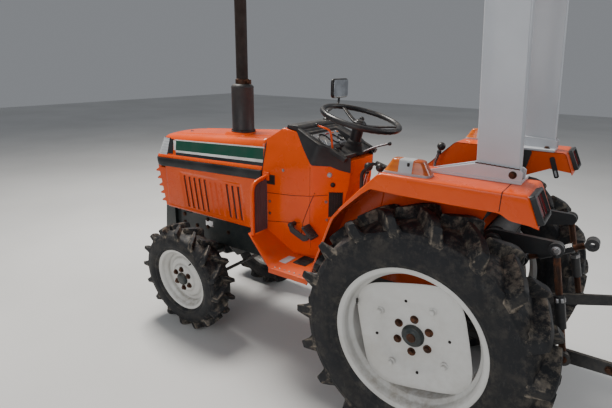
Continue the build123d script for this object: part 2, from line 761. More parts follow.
def make_pto_shaft():
    """Power take-off stub with its half-round shield."""
    with BuildPart() as pto:
        with Locations(Location((CASE_REAR_X, 0, PTO_Z), (0, -90, 0))):
            Cylinder(46, 14, align=(Align.CENTER, Align.CENTER, Align.MIN))
            Cylinder(
                PTO_RADIUS, CASE_REAR_X - PTO_END_X, align=(Align.CENTER, Align.CENTER, Align.MIN)
            )
        with BuildSketch(Plane.YZ.offset(PTO_END_X + 12)):
            with Locations((0, PTO_Z)):
                Circle(72)
                Circle(67, mode=Mode.SUBTRACT)
                with Locations((0, -60)):
                    Rectangle(160, 100, mode=Mode.SUBTRACT)
        extrude(amount=CASE_REAR_X - PTO_END_X - 12)
    return pto.part


# Bonnet and cowl


def hood_form(inset):
    """Bonnet and side panels as one closed form, moved in on every outer side by the inset."""
    length = HOOD_NOSE_X - HOOD_REAR_X
    slope = atan2(HOOD_REAR_TOP_Z - HOOD_FRONT_TOP_Z, HOOD_TOP_X - HOOD_REAR_X)
    belt = belt_top(HOOD_REAR_X)
    # Section plane square to the sloping roof, a little behind the hood
    behind = 60.0
    section = Plane(
        origin=(HOOD_REAR_X - behind, 0, 0), x_dir=(0, 1, 0),
        z_dir=(cos(slope), 0, -sin(slope)),
    )
    top = HOOD_REAR_TOP_Z * cos(slope) + behind * sin(slope)
    with BuildPart() as form:
        with BuildSketch(side_plane(HOOD_BELT_HALF - inset)):
            Polygon(
                (HOOD_REAR_X, HOOD_LOW_Z - 1), (HOOD_CHIN_X - inset, HOOD_LOW_Z - 1),
                (HOOD_NOSE_X - inset, belt_top(HOOD_NOSE_X)),
                (HOOD_TOP_X - inset, HOOD_FRONT_TOP_Z + HOOD_CROWN + 30),
                (HOOD_REAR_X, HOOD_REAR_TOP_Z + HOOD_CROWN + 30),
                align=None,
            )
        extrude(amount=2 * (HOOD_BELT_HALF - inset))
        upright = form.edges().filter_by(lambda e: e.center().X > HOOD_CHIN_X - inset - 5)
        upright = upright.filter_by(lambda e: abs(abs(e.center().Y) - HOOD_BELT_HALF + inset) < 1)
        fillet(upright, NOSE_RADIUS - inset)
        with BuildSketch(section) as profile:
            with BuildLine():
                Polyline(
                    (-HOOD_TOP_HALF + inset, top - inset),
                    (-HOOD_BELT_HALF + inset, belt - 10),
                    (-HOOD_LOW_HALF + inset, HOOD_LOW_Z - 60),
                    (HOOD_LOW_HALF - inset, HOOD_LOW_Z - 60),
                    (HOOD_BELT_HALF - inset, belt - 10),
                    (HOOD_TOP_HALF - inset, top - inset),
                )
                ThreePointArc(
                    (HOOD_TOP_HALF - inset, top - inset),
                    (0, top + HOOD_CROWN - inset),
                    (-HOOD_TOP_HALF + inset, top - inset),
                )
            make_face()
            shoulders = profile.vertices().group_by(Axis.Y)[-1]
            fillet(shoulders, max(SHOULDER_RADIUS - inset, SHEET))
        extrude(amount=length + 300, mode=Mode.INTERSECT)
    return form.part


def belt_band(rise, drop):
    """Slab between two lines parallel to the belt: rise above its top, drop below it."""
    reach = 400.0
    front_x = HOOD_NOSE_X + reach
    rear_x = HOOD_REAR_X - reach
    with BuildPart() as band:
        with BuildSketch(side_plane(reach)):
            Polygon(
                (rear_x, belt_top(rear_x) + rise), (front_x, belt_top(front_x) + rise),
                (front_x, belt_top(front_x) - drop), (rear_x, belt_top(rear_x) - drop),
                align=None,
            )
        extrude(amount=2 * reach)
    return band.part


def lamp_window(gap):
    """Box round the wrapped headlamps, grown by the gap on every side."""
    with BuildPart() as window:
        for side in (1, -1):
            with Locations((LAMP_REAR_X - gap, side * (70 - gap), LAMP_LOW_Z - gap)):
                Box(
                    300, 200, LAMP_TOP_Z - LAMP_LOW_Z + 2 * gap,
                    align=(Align.MIN, Align.MIN if side > 0 else Align.MAX, Align.MIN),
                )
    return window.part


def make_bonnet(outer, inner):
    """Top shell of the hood above the belt, open below, with the lamp and exhaust openings."""
    above = belt_band(400, 0)
    window = lamp_window(SEAT_GAP)
    with BuildPart() as bonnet:
        add(outer)
        add(inner, mode=Mode.SUBTRACT)
        add(above, mode=Mode.INTERSECT)
        add(window, mode=Mode.SUBTRACT)
        with Locations((STACK_X, STACK_Y, hood_top(STACK_X) - 80)):
            Cylinder(NECK_RADIUS + 8, 200, mode=Mode.SUBTRACT)
    return bonnet.part


def make_belt(outer, inner):
    """Dark band round the hood between the bonnet and the side panels, standing proud."""
    band = belt_band(-0.5, BELT_HIGH)
    with BuildPart() as belt:
        add(outer)
        add(inner, mode=Mode.SUBTRACT)
        add(band, mode=Mode.INTERSECT)
    return belt.part


def make_headlamps(outer, core):
    """Two wrapped headlamps, flush with the bonnet's corners."""
    window = lamp_window(0)
    with BuildPart() as lamps:
        add(outer)
        add(core, mode=Mode.SUBTRACT)
        add(window, mode=Mode.INTERSECT)
    return lamps.part


def make_side_panels(outer, inner):
    """The two louvred panels under the belt, from the cowl to the grille."""
    below = belt_band(-BELT_HIGH - 0.5, 600)
    panel_front = HOOD_CHIN_X - 34
    slot_groups = [(HOOD_REAR_X + 143, 3), (HOOD_REAR_X + 376, 5)]   # first slot's foot, slots
    slot_pitch = 38.0
    slot_wide = 11.0
    slot_lean = 20.0
    slot_low = HOOD_LOW_Z + 24
    slot_high = 170.0
    with BuildPart() as panels:
        add(outer)
        add(inner, mode=Mode.SUBTRACT)
        add(below, mode=Mode.INTERSECT)
        # Cut off the part across the nose, where the grille stands
        with Locations((panel_front, 0, HOOD_LOW_Z - 50)):
            Box(400, 600, 600, align=(Align.MIN, Align.CENTER, Align.MIN), mode=Mode.SUBTRACT)
        with BuildSketch(side_plane(HOOD_BELT_HALF + 20)):
            for first, slots in slot_groups:
                for x in [first + i * slot_pitch for i in range(slots)]:
                    Polygon(
                        (x, slot_low), (x + slot_wide, slot_low),
                        (x + slot_lean + slot_wide, slot_low + slot_high),
                        (x + slot_lean, slot_low + slot_high),
                        align=None,
                    )
        extrude(amount=2 * HOOD_BELT_HALF + 40, mode=Mode.SUBTRACT)
    return panels.part


def make_grille():
    """Front grille: two side cheeks joined by five fins that stand out in front."""
    fins = 5
    fin_pitch = 42.0
    fin_low = 616.0
    fin_out = 46.0
    cheek_half = HOOD_LOW_HALF - HOOD_WALL - 2
    cheek_in = cheek_half - 14
    chin_slope = (HOOD_NOSE_X - HOOD_CHIN_X) / (belt_top(HOOD_NOSE_X) - HOOD_LOW_Z)
    top = belt_top(HOOD_CHIN_X) - BELT_HIGH - 4
    rear_x = HOOD_CHIN_X - 32
    with BuildPart() as grille:
        for y in (cheek_half, -cheek_in):
            with BuildSketch(side_plane(y)):
                Polygon(
                    (rear_x, HOOD_LOW_Z), (HOOD_CHIN_X - 2, HOOD_LOW_Z),
                    (HOOD_CHIN_X - 2 + chin_slope * (top - HOOD_LOW_Z), top), (rear_x, top),
                    align=None,
                )
            extrude(amount=cheek_half - cheek_in)
        for i in range(fins):
            z = fin_low + i * fin_pitch
            x = HOOD_CHIN_X + chin_slope * (z - HOOD_LOW_Z)
            with BuildSketch(side_plane(cheek_half - 1)):
                Polygon(
                    (x - 22, z + 4), (x + fin_out - 14, z - 9), (x + fin_out - 12, z - 5),
                    (x - 6, z + 12), (x - 22, z + 12),
                    align=None,
                )
            extrude(amount=2 * cheek_half - 2)
        # Top bar, against the underside of the belt
        bar_x = HOOD_CHIN_X + chin_slope * (top - HOOD_LOW_Z)
        bar_rear = bar_x - 18
        with BuildSketch(side_plane(cheek_half - 1)):
            Polygon(
                (bar_rear, top - 10), (bar_x, top - 10), (bar_x, belt_top(bar_x) - BELT_HIGH),
                (bar_rear, belt_top(bar_rear) - BELT_HIGH),
                align=None,
            )
        extrude(amount=2 * cheek_half - 2)
    return grille.part


def make_muffler():
    """Upright silencer over the bonnet, with its neck down to the engine and a base flange."""
    base = hood_top(STACK_X) + HOOD_CROWN + 6
    with BuildPart() as muffler:
        with BuildSketch(Plane.XZ.offset(-STACK_Y)):
            Polygon(
                (STACK_X, ENGINE_TOP_Z), (STACK_X + NECK_RADIUS, ENGINE_TOP_Z),
                (STACK_X + NECK_RADIUS, base), (STACK_X + MUFFLER_RADIUS + 7, base),
                (STACK_X + MUFFLER_RADIUS + 7, base + 5), (STACK_X + MUFFLER_RADIUS, base + 5),
                (STACK_X + MUFFLER_RADIUS, base + MUFFLER_HIGH - 8),
                (STACK_X + MUFFLER_RADIUS - 12, base + MUFFLER_HIGH),
                (STACK_X, base + MUFFLER_HIGH),
                align=None,
            )
        revolve(axis=Axis((STACK_X, STACK_Y, 0), (0, 0, 1)))
    return muffler.part


def make_exhaust_pipe():
    """Tail pipe on the silencer, bent forward at its open end."""
    base = hood_top(STACK_X) + HOOD_CROWN + 6 + MUFFLER_HIGH
    with BuildPart() as pipe:
        with BuildLine(Plane.XZ.offset(-STACK_Y)) as path:
            up = Line((STACK_X, base), (STACK_X, STACK_TOP_Z))
            bend = JernArc(up @ 1, up % 1, STACK_BEND, -55)
            Line(bend @ 1, bend @ 1 + 40 * (bend % 1))
        with BuildSketch(Plane(origin=(STACK_X, STACK_Y, base), z_dir=(0, 0, 1))):
            Circle(STACK_RADIUS)
            Circle(STACK_RADIUS - 3, mode=Mode.SUBTRACT)
        sweep()
        with Locations((STACK_X, STACK_Y, base)):
            Cylinder(STACK_RADIUS + 5, 26, align=(Align.CENTER, Align.CENTER, Align.MIN))
    return pipe.part


def cowl_form(inset):
    """The cowl's outer form, moved in by the inset on its flanks, rear and top."""
    with BuildPart() as form:
        with BuildSketch(side_plane(HOOD_BELT_HALF)):
            Polygon(
                (COWL_WAIST_X + 10 + inset, FLOOR_Z), (TOE_FOOT_X, FLOOR_Z),
                (TOE_TOP_X, TOE_TOP_Z), (HOOD_REAR_X - PANEL_GAP, TOE_TOP_Z),
                (HOOD_REAR_X - PANEL_GAP, HOOD_REAR_TOP_Z - inset),
                (COWL_TOP_X, COWL_TOP_Z - inset), (DASH_FRONT_X, DASH_FRONT_Z - inset),
                (COWL_REAR_X + inset, DASH_REAR_Z - inset),
                (COWL_REAR_X + 8 + inset, COWL_WAIST_Z + 62),
                (COWL_WAIST_X + inset, COWL_WAIST_Z),
                align=None,
            )
        extrude(amount=2 * HOOD_BELT_HALF)
        with BuildSketch(Plane.XY.offset(FLOOR_Z - 10)):
            Polygon(
                (HOOD_REAR_X, HOOD_BELT_HALF - inset),
                (COWL_SHOULDER_X, COWL_SHOULDER_HALF - inset),
                (COWL_REAR_X - 5 + inset, COWL_REAR_HALF - inset),
                (COWL_REAR_X - 5 + inset, -COWL_REAR_HALF + inset),
                (COWL_SHOULDER_X, -COWL_SHOULDER_HALF + inset),
                (HOOD_REAR_X, -HOOD_BELT_HALF + inset),
                align=None,
            )
        extrude(amount=700, mode=Mode.INTERSECT)
    return form.part


def make_cowl():
    """Hollow cowl between the bonnet and the driver, open below and towards the engine."""
    outer = cowl_form(0)
    inner = cowl_form(HOOD_WALL)
    # The roof narrows like the bonnet's, from the belt up
    with BuildPart() as shoulder:
        with BuildSketch(Plane.YZ.offset(COWL_REAR_X - 50)):
            Polygon(
                (-HOOD_BELT_HALF, FLOOR_Z - 50), (HOOD_BELT_HALF, FLOOR_Z - 50),
                (HOOD_BELT_HALF, BELT_REAR_Z), (HOOD_TOP_HALF, HOOD_REAR_TOP_Z),
                (HOOD_TOP_HALF - 20, COWL_TOP_Z + 5), (-HOOD_TOP_HALF + 20, COWL_TOP_Z + 5),
                (-HOOD_TOP_HALF, HOOD_REAR_TOP_Z), (-HOOD_BELT_HALF, BELT_REAR_Z),
                align=None,
            )
        extrude(amount=600)
    with BuildPart() as hollow_shoulder:
        add(shoulder.part)
        offset(amount=-HOOD_WALL)
    with BuildPart() as core:
        add(inner)
        add(hollow_shoulder.part, mode=Mode.INTERSECT)
        # Open towards the engine
        with Locations((HOOD_REAR_X - 40, 0, TOE_TOP_Z + 8)):
            Box(
                80, 2 * HOOD_BELT_HALF - 40, HOOD_REAR_TOP_Z - TOE_TOP_Z - 60,
                align=(Align.MIN, Align.CENTER, Align.MIN),
            )
    column = column_line(0)
    with BuildPart() as cowl:
        add(outer)
        add(shoulder.part, mode=Mode.INTERSECT)
        add(core.part, mode=Mode.SUBTRACT)
        # Open below, and cut round the gear case
        with Locations((COWL_WAIST_X + 14, 0, FLOOR_Z - 5)):
            Box(
                400, 2 * CASE_HALF + 16, 80, align=(Align.MIN, Align.CENTER, Align.MIN),
                mode=Mode.SUBTRACT,
            )
        with Locations((COWL_WAIST_X - 20, 0, FLOOR_Z - 5)):
            Box(
                80, 2 * CASE_HALF + 16, CASE_TOP_Z - 35 - FLOOR_Z + 5,
                align=(Align.MIN, Align.CENTER, Align.MIN), mode=Mode.SUBTRACT,
            )
        with Locations(column):
            Cylinder(COLUMN_RADIUS + SEAT_GAP, 700, mode=Mode.SUBTRACT)
    return cowl.part


def column_line(along):
    """Place on the steering column's axis, at a distance above the steering wheel's centre."""
    tilt = radians(WHEEL_TILT)
    return Location(
        (WHEEL_X - along * sin(tilt), 0, WHEEL_Z + along * cos(tilt)), (0, -WHEEL_TILT, 0)
    )


def make_dash_panel():
    """Black instrument panel on the cowl's sloping face, with its raised hood in front."""
    half = 152.0
    rear_x = COWL_REAR_X + 16
    with BuildPart() as dash:
        with BuildSketch(side_plane(half)):
            Polygon(
                (rear_x, dash_top(rear_x)), (DASH_FRONT_X, DASH_FRONT_Z),
                (COWL_TOP_X - 8, COWL_TOP_Z - 1.4), (COWL_TOP_X - 14, DASH_HOOD_Z),
                (DASH_FRONT_X + 6, DASH_HOOD_Z),
                (DASH_FRONT_X - 16, dash_top(DASH_FRONT_X - 16) + DASH_THICK),
                (rear_x + 6, dash_top(rear_x + 6) + DASH_THICK),
                align=None,
            )
        extrude(amount=2 * half)
        with Locations(column_line(0)):
            Cylinder(COLUMN_RADIUS + SEAT_GAP, 700, mode=Mode.SUBTRACT)
    return dash.part


def make_steering_column():
    """Fixed column tube from the gear in the cowl up to under the steering wheel."""
    top = -46.0
    bottom = -330.0
    with BuildPart() as column:
        with Locations(column_line(bottom)):
            Cylinder(COLUMN_RADIUS, top - bottom, align=(Align.CENTER, Align.CENTER, Align.MIN))
        with Locations(column_line(top - 60)):
            Cylinder(
                10 + RUN_GAP, 70, align=(Align.CENTER, Align.CENTER, Align.MIN),
                mode=Mode.SUBTRACT,
            )
    return column.part


def make_steering_wheel():
    """Rim, three dished spokes, hub and the shaft that turns in the column."""
    with BuildPart() as wheel:
        Torus(WHEEL_RING, WHEEL_GRIP)
        with Locations((0, 0, -46 + FACE_GAP)):
            Cylinder(30, 30, align=(Align.CENTER, Align.CENTER, Align.MIN))
        with Locations((0, 0, -46 - 55)):
            Cylinder(10, 60, align=(Align.CENTER, Align.CENTER, Align.MIN))
        for turn in (90, 210, 330):
            reach = Plane(origin=(0, 0, 0), x_dir=(cos(radians(turn)), sin(radians(turn)), 0),
                          z_dir=(sin(radians(turn)), -cos(radians(turn)), 0))
            with BuildSketch(reach.offset(-13)):
                Polygon(
                    (20, -34), (WHEEL_RING - 2, -5), (WHEEL_RING - 2, 3), (20, -22),
                    align=None,
                )
            extrude(amount=26)
    return wheel.part.moved(column_line(0))


# Steps, guards, fenders and deck


def make_footboard():
    """Left step: toe board, floor and its turned-down outer edge, bent from one sheet."""
    inner_y = CASE_HALF + 10
    flange = 24.0
    rise = TOE_TOP_Z - FLOOR_Z
    run = TOE_TOP_X - TOE_FOOT_X
    # The lower face's bend lies on the half angle, so that the sheet keeps its thickness
    bend_x = SHEET * tan(atan2(rise, run) / 2)
    with BuildPart() as step:
        with BuildSketch(side_plane(FLOOR_OUTER_Y)):
            Polygon(
                (DECK_FRONT_X, FLOOR_Z), (TOE_FOOT_X, FLOOR_Z), (TOE_TOP_X, TOE_TOP_Z),
                (TOE_TOP_X, TOE_TOP_Z - SHEET * hypot(rise, run) / run),
                (TOE_FOOT_X + bend_x, FLOOR_Z - SHEET), (DECK_FRONT_X, FLOOR_Z - SHEET),
                align=None,
            )
        extrude(amount=FLOOR_OUTER_Y - inner_y)
        # Outer flange
        with BuildSketch(side_plane(FLOOR_OUTER_Y)):
            Polygon(
                (FLOOR_REAR_X, FLOOR_Z - 1), (TOE_FOOT_X, FLOOR_Z - 1),
                (TOE_FOOT_X, FLOOR_Z - flange), (FLOOR_REAR_X, FLOOR_Z - flange),
                align=None,
            )
        extrude(amount=SHEET)
        # Plan outline: the toe board narrows forward, and the rear runs in beside the fender
        with BuildSketch(Plane.XY.offset(FLOOR_Z - 60)):
            Polygon(
                (DECK_FRONT_X, inner_y), (TOE_TOP_X + 5, inner_y), (TOE_TOP_X + 5, TOE_OUTER_Y),
                (TOE_FOOT_X, FLOOR_OUTER_Y), (FLOOR_REAR_X, FLOOR_OUTER_Y),
                (FLOOR_REAR_X, FENDER_IN_Y - SEAT_GAP), (DECK_FRONT_X, FENDER_IN_Y - SEAT_GAP),
                align=None,
            )
        extrude(amount=260, mode=Mode.INTERSECT)
    return step.part


def make_footboards():
    """Both steps."""
    left = make_footboard()
    right = left.mirror(Plane.XZ)
    with BuildPart() as boards:
        add(left)
        add(right)
    return boards.part


def make_leg_guards():
    """Bent tube and ribbed screen beside the cowl, in front of each of the driver's legs."""
    top_z = TOE_TOP_Z + 250
    in_y = HOOD_BELT_HALF + 1
    out_y = TOE_OUTER_Y - GUARD_TUBE - 2
    x = GUARD_X - 22
    low_z = toe_top(x + GUARD_TUBE)
    screen_in = in_y + 6
    with BuildPart() as guard:
        with BuildLine() as path:
            FilletPolyline((x, in_y, top_z), (x, out_y, top_z - 16), (x, out_y, low_z), radius=48)
        with BuildSketch(Plane(origin=path.line @ 0, z_dir=path.line % 0)):
            Circle(GUARD_TUBE)
        sweep()
        with Locations((x, in_y, top_z)):
            Box(34, 6, 40, align=(Align.CENTER, Align.MIN, Align.CENTER))
        with BuildSketch(Plane.YZ.offset(x - 2)):
            Polygon(
                (screen_in, low_z + 8), (out_y, low_z + 8), (out_y, top_z - 52),
                (out_y - 40, top_z - 14), (screen_in, top_z - 6),
                align=None,
            )
        extrude(amount=4)
        for i in range(7):
            with BuildSketch(Plane.YZ.offset(x - 5)):
                with Locations((screen_in + 6 + i * 11, (low_z + top_z) / 2 - 18)):
                    Rectangle(3, top_z - low_z - 90)
            extrude(amount=10)
    left = guard.part
    right = left.mirror(Plane.XZ)
    with BuildPart() as guards:
        add(left)
        add(right)
    return guards.part


def tail_x(z):
    """Sloping tail of the fender at the height z."""
    return FENDER_TAIL_X - 0.43 * (FENDER_TOP_Z - z)


def fender_outline():
    """Side view of the left fender's ribbon, from the front foot over the top to the tail."""
    return [
        (496, 492), (372, 812), (218, 962), (143, FENDER_TOP_Z), (FENDER_TAIL_X, FENDER_TOP_Z),
        (tail_x(940), 940),
    ]


def make_fender():
    """Left fender: inner wall, top ribbon and outer lip, bent and welded from sheet."""
    ribbon = fender_outline()
    wall_foot = [(-338, 640), (-262, 562), (262, 562), (330, FLOOR_Z + 4), (380, 492)]
    lip_foot = [
        (-352, 930), (-240, 972), (-100, 985), (90, 975), (190, 915), (285, 850), (370, 800),
        (490, 492),
    ]
    with BuildPart() as fender:
        # Full section of the ribbon, wall to wall
        with BuildSketch(side_plane(FENDER_OUT_Y)):
            Polygon(*ribbon, *wall_foot, align=None)
        extrude(amount=FENDER_OUT_Y - FENDER_IN_Y)
        # Space for the wheel: everything inside the sheet, open below and behind
        with BuildSketch(side_plane(FENDER_OUT_Y - SHEET)):
            Polygon(*ribbon, (tail_x(940), 300), (496, 300), align=None)
            offset(amount=-SHEET, kind=Kind.INTERSECTION)
            with Locations((0, 380)):
                Rectangle(1400, 380)
        extrude(amount=FENDER_OUT_Y - FENDER_IN_Y - 2 * SHEET, mode=Mode.SUBTRACT)
        # Outer face, cut away under the lip
        with BuildSketch(side_plane(FENDER_OUT_Y + 1)):
            Polygon(*lip_foot, (490, 300), (-352, 300), align=None)
        extrude(amount=SHEET + 2, mode=Mode.SUBTRACT)
    return fender.part


def make_seat_deck():
    """Bent sheet between the fenders that carries the seat and drops to the steps in front."""
    half = FENDER_IN_Y - SEAT_GAP
    with BuildPart() as deck:
        with BuildSketch(side_plane(half)):
            Polygon(
                (DECK_REAR_X, DECK_Z), (DECK_FRONT_X - 60, DECK_Z), (DECK_FRONT_X, DECK_Z - 70),
                (DECK_FRONT_X, FLOOR_Z - SHEET), (DECK_FRONT_X - SHEET, FLOOR_Z - SHEET),
                (DECK_FRONT_X - SHEET, DECK_Z - 71), (DECK_FRONT_X - 61, DECK_Z - SHEET),
                (DECK_REAR_X, DECK_Z - SHEET),
                align=None,
            )
        extrude(amount=2 * half)
        with Locations((DECK_FRONT_X, 0, 300)):
            Box(
                60, 2 * CASE_HALF + 6, CASE_TOP_Z + 5 - 300,
                align=(Align.CENTER, Align.CENTER, Align.MIN), mode=Mode.SUBTRACT,
            )
        # Notches beside the roll bar's legs
        for side in (1, -1):
            with Locations((DECK_REAR_X - 5, side * (ROPS_LEG_Y - PLATE - 1.5), DECK_Z - 50)):
                Box(
                    155, 60, 100,
                    align=(Align.MIN, Align.MIN if side > 0 else Align.MAX, Align.MIN),
                    mode=Mode.SUBTRACT,
                )
        # Two brackets in which the seat's front hinge turns
        for y in (128, -116):
            with BuildSketch(side_plane(y)):
                Polygon(
                    (SEAT_HINGE_X - 26, DECK_Z - 1), (SEAT_HINGE_X + 4, DECK_Z - 1),
                    (SEAT_HINGE_X + 14, SEAT_HINGE_Z), (SEAT_HINGE_X + 8, SEAT_HINGE_Z + 12),
                    (SEAT_HINGE_X - 8, SEAT_HINGE_Z + 12), (SEAT_HINGE_X - 14, SEAT_HINGE_Z),
                    align=None,
                )
                with Locations((SEAT_HINGE_X, SEAT_HINGE_Z)):
                    Circle(6 + RUN_GAP, mode=Mode.SUBTRACT)
            extrude(amount=12)
    return deck.part


def make_seat():
    """Seat pan with padded cushion and back, on the hinge pin at its front edge."""
    half = 205.0
    pan_z = SEAT_HINGE_Z + 18
    with BuildPart() as seat:
        with BuildSketch(side_plane(half)):
            Polygon(
                (-112, pan_z), (270, pan_z), (284, pan_z + 26), (262, pan_z + 58),
                (60, pan_z + 44), (-30, pan_z + 60), (-66, 1062), (-96, 1090), (-122, 1070),
                (-118, 860),
                align=None,
            )
        extrude(amount=2 * half)
        fillet(seat.edges().filter_by(Axis.Y).group_by(Axis.Z)[-1], 10)
        chamfer(seat.faces().sort_by(Axis.Y)[-1].edges(), 9)
        chamfer(seat.faces().sort_by(Axis.Y)[0].edges(), 9)
        # Hinge tongues and pin
        for y in (112, -100):
            with BuildSketch(side_plane(y)):
                Polygon(
                    (SEAT_HINGE_X - 10, SEAT_HINGE_Z - 8), (SEAT_HINGE_X + 10, SEAT_HINGE_Z - 8),
                    (SEAT_HINGE_X + 10, pan_z + 5), (SEAT_HINGE_X - 10, pan_z + 5),
                    align=None,
                )
            extrude(amount=12)
        for y in (100, -131):
            with Locations(Location((SEAT_HINGE_X, y, SEAT_HINGE_Z), (-90, 0, 0))):
                Cylinder(6, 31, align=(Align.CENTER, Align.CENTER, Align.MIN))
        # Rubber stops on the deck
        for y in (130, -130):
            with Locations((-60, y, DECK_Z + 0.5)):
                Cylinder(14, pan_z - DECK_Z + 1, align=(Align.CENTER, Align.CENTER, Align.MIN))
    return seat.part


# Lamps, roll bar and controls


def make_side_lamp():
    """Left turn lamp on the fender: a grey body with a lens at each end."""
    centre_x = 62.0
    centre_y = 448.0
    with BuildPart() as lamp:
        with BuildSketch(Plane.XY.offset(FENDER_TOP_Z)):
            with Locations((centre_x, centre_y)):
                RectangleRounded(156, 62, 22)
        with BuildSketch(Plane.XY.offset(FENDER_TOP_Z + 48)):
            with Locations((centre_x + 2, centre_y - 2)):
                RectangleRounded(104, 46, 16)
        loft()
    return lamp.part


def make_side_lamps():
    """Both turn lamps."""
    left = make_side_lamp()
    right = left.mirror(Plane.XZ)
    with BuildPart() as lamps:
        add(left)
        add(right)
    return lamps.part


def make_tail_lamps():
    """Rear lamp housings on the sloping tail of each fender."""
    with BuildPart() as lamp:
        with BuildSketch(side_plane(FENDER_OUT_Y - 6)):
            Polygon(
                (FENDER_TAIL_X - 4, FENDER_TOP_Z + 12), (tail_x(FENDER_TOP_Z) - 0.5, FENDER_TOP_Z),
                (tail_x(944) - 0.5, 944), (-382, 946), (-356, FENDER_TOP_Z + 12),
                align=None,
            )
        extrude(amount=130)
    left = lamp.part
    right = left.mirror(Plane.XZ)
    with BuildPart() as lamps:
        add(left)
        add(right)
    return lamps.part


def post_x(z):
    """Middle of the leaning roll-bar post at the height z."""
    return ROPS_FOOT_X + (z - FENDER_TOP_Z) * tan(radians(ROPS_LEAN))


def make_rops_posts():
    """Left and right posts, boxed from plate."""
    foot = FENDER_TOP_Z + 10
    top = ROPS_TOP_Z - ROPS_CORNER
    half = ROPS_DEEP / 2
    with BuildPart() as posts:
        for y in (ROPS_OUT_Y, -ROPS_OUT_Y + ROPS_THICK):
            with BuildSketch(side_plane(y)):
                Polygon(
                    (post_x(foot) - half, foot), (post_x(foot) + half, foot),
                    (post_x(top) + half, top), (post_x(top) - half, top),
                    align=None,
                )
            extrude(amount=ROPS_THICK)
    return posts.part


def make_rops_crossbar():
    """Top hoop of the roll bar, with a rounded corner over each post."""
    low = ROPS_TOP_Z - ROPS_CORNER
    inner_y = ROPS_OUT_Y - ROPS_THICK
    inner_corner = ROPS_CORNER - ROPS_THICK
    half = ROPS_DEEP / 2
    lean = Plane(
        origin=(post_x(low) - half, 0, low), x_dir=(0, 1, 0),
        z_dir=(1, 0, 0),
    )
    with BuildPart() as hoop:
        with BuildSketch(lean):
            with BuildLine():
                right = Line((-inner_y, 0), (-ROPS_OUT_Y, 0))
                RadiusArc(right @ 1, (-ROPS_OUT_Y + ROPS_CORNER, ROPS_CORNER), ROPS_CORNER)
                Line((-ROPS_OUT_Y + ROPS_CORNER, ROPS_CORNER), (ROPS_OUT_Y - ROPS_CORNER, ROPS_CORNER))
                RadiusArc((ROPS_OUT_Y - ROPS_CORNER, ROPS_CORNER), (ROPS_OUT_Y, 0), ROPS_CORNER)
                Line((ROPS_OUT_Y, 0), (inner_y, 0))
                RadiusArc(
                    (inner_y, 0), (inner_y - inner_corner, inner_corner), -inner_corner
                )
                Line((inner_y - inner_corner, inner_corner), (-inner_y + inner_corner, inner_corner))
                RadiusArc((-inner_y + inner_corner, inner_corner), (-inner_y, 0), -inner_corner)
            make_face()
        extrude(amount=ROPS_DEEP)
    return hoop.part


def make_rops_bases():
    """Leg inside each fender, the plate over its top and the wedge cheeks that hold the post."""
    top = FENDER_TOP_Z
    leg_in = ROPS_LEG_Y - PLATE
    leg_foot = REAR_AXLE_Z + 65
    half = ROPS_DEEP / 2
    rear_x = ROPS_FOOT_X - half - 8
    with BuildPart() as base:
        with BuildSketch(side_plane(ROPS_LEG_Y)):
            Polygon(
                (-70, leg_foot), (70, leg_foot), (20, 700), (-60, top + 10),
                (rear_x, top + 10), (rear_x, top - 60), (-130, 700),
                align=None,
            )
        extrude(amount=PLATE)
        # Plate over the fender
        with BuildSketch(Plane.XY.offset(top)):
            Polygon(
                (20, ROPS_OUT_Y + 8), (-70, leg_in), (rear_x, leg_in), (rear_x, ROPS_OUT_Y + 8),
                align=None,
            )
        extrude(amount=10)
        # Wedge cheeks outside and inside the post
        for y in (ROPS_OUT_Y + 6.5, ROPS_OUT_Y - ROPS_THICK - 0.5):
            with BuildSketch(side_plane(y)):
                Polygon(
                    (20, top + 9), (post_x(top) + half, top + 50), (post_x(top) - half + 30, top + 46),
                    (rear_x, top + 22), (rear_x, top + 9),
                    align=None,
                )
            extrude(amount=6)
    left = base.part
    right = left.mirror(Plane.XZ)
    with BuildPart() as bases:
        add(left)
        add(right)
    return bases.part


def make_pedals(cowl_outer):
    """Clutch pedal on the left and the two brake pedals on the right, on shafts in the cowl."""
    shaft_x = 690.0
    shaft_z = FLOOR_Z + 150
    shaft_radius = 11.0
    shaft_end = 292.0
    pad_x = 585.0
    pad_z = FLOOR_Z + 148
    arm_thick = 12.0
    arms = [(230, 62), (-224, 46), (-278, 46)]   # lateral place and pad width
    with BuildPart() as shafts:
        for side in (1, -1):
            with Locations(Location((shaft_x, 0, shaft_z), (-90 * side, 0, 0))):
                Cylinder(shaft_radius, shaft_end, align=(Align.CENTER, Align.CENTER, Align.MIN))
        # The shafts end against the cowl's flanks
        add(cowl_outer, mode=Mode.SUBTRACT)
    with BuildPart() as pedals:
        add(shafts.part)
        for y, wide in arms:
            with BuildSketch(side_plane(y + arm_thick / 2)):
                Polygon(
                    (shaft_x - 6, shaft_z + 16), (shaft_x + 16, shaft_z + 4),
                    (shaft_x + 2, shaft_z - 34), (pad_x + 34, pad_z - 62),
                    (pad_x + 8, pad_z - 52), (pad_x - 6, pad_z - 5), (pad_x + 12, pad_z - 14),
                    (pad_x + 26, pad_z - 36), (shaft_x - 18, shaft_z - 13),
                    align=None,
                )
            extrude(amount=arm_thick)
            with BuildSketch(side_plane(y + wide / 2)):
                Polygon(
                    (pad_x - 34, pad_z + 22), (pad_x + 32, pad_z - 16), (pad_x + 26, pad_z - 26),
                    (pad_x - 40, pad_z + 12),
                    align=None,
                )
            extrude(amount=wide)
    return pedals.part


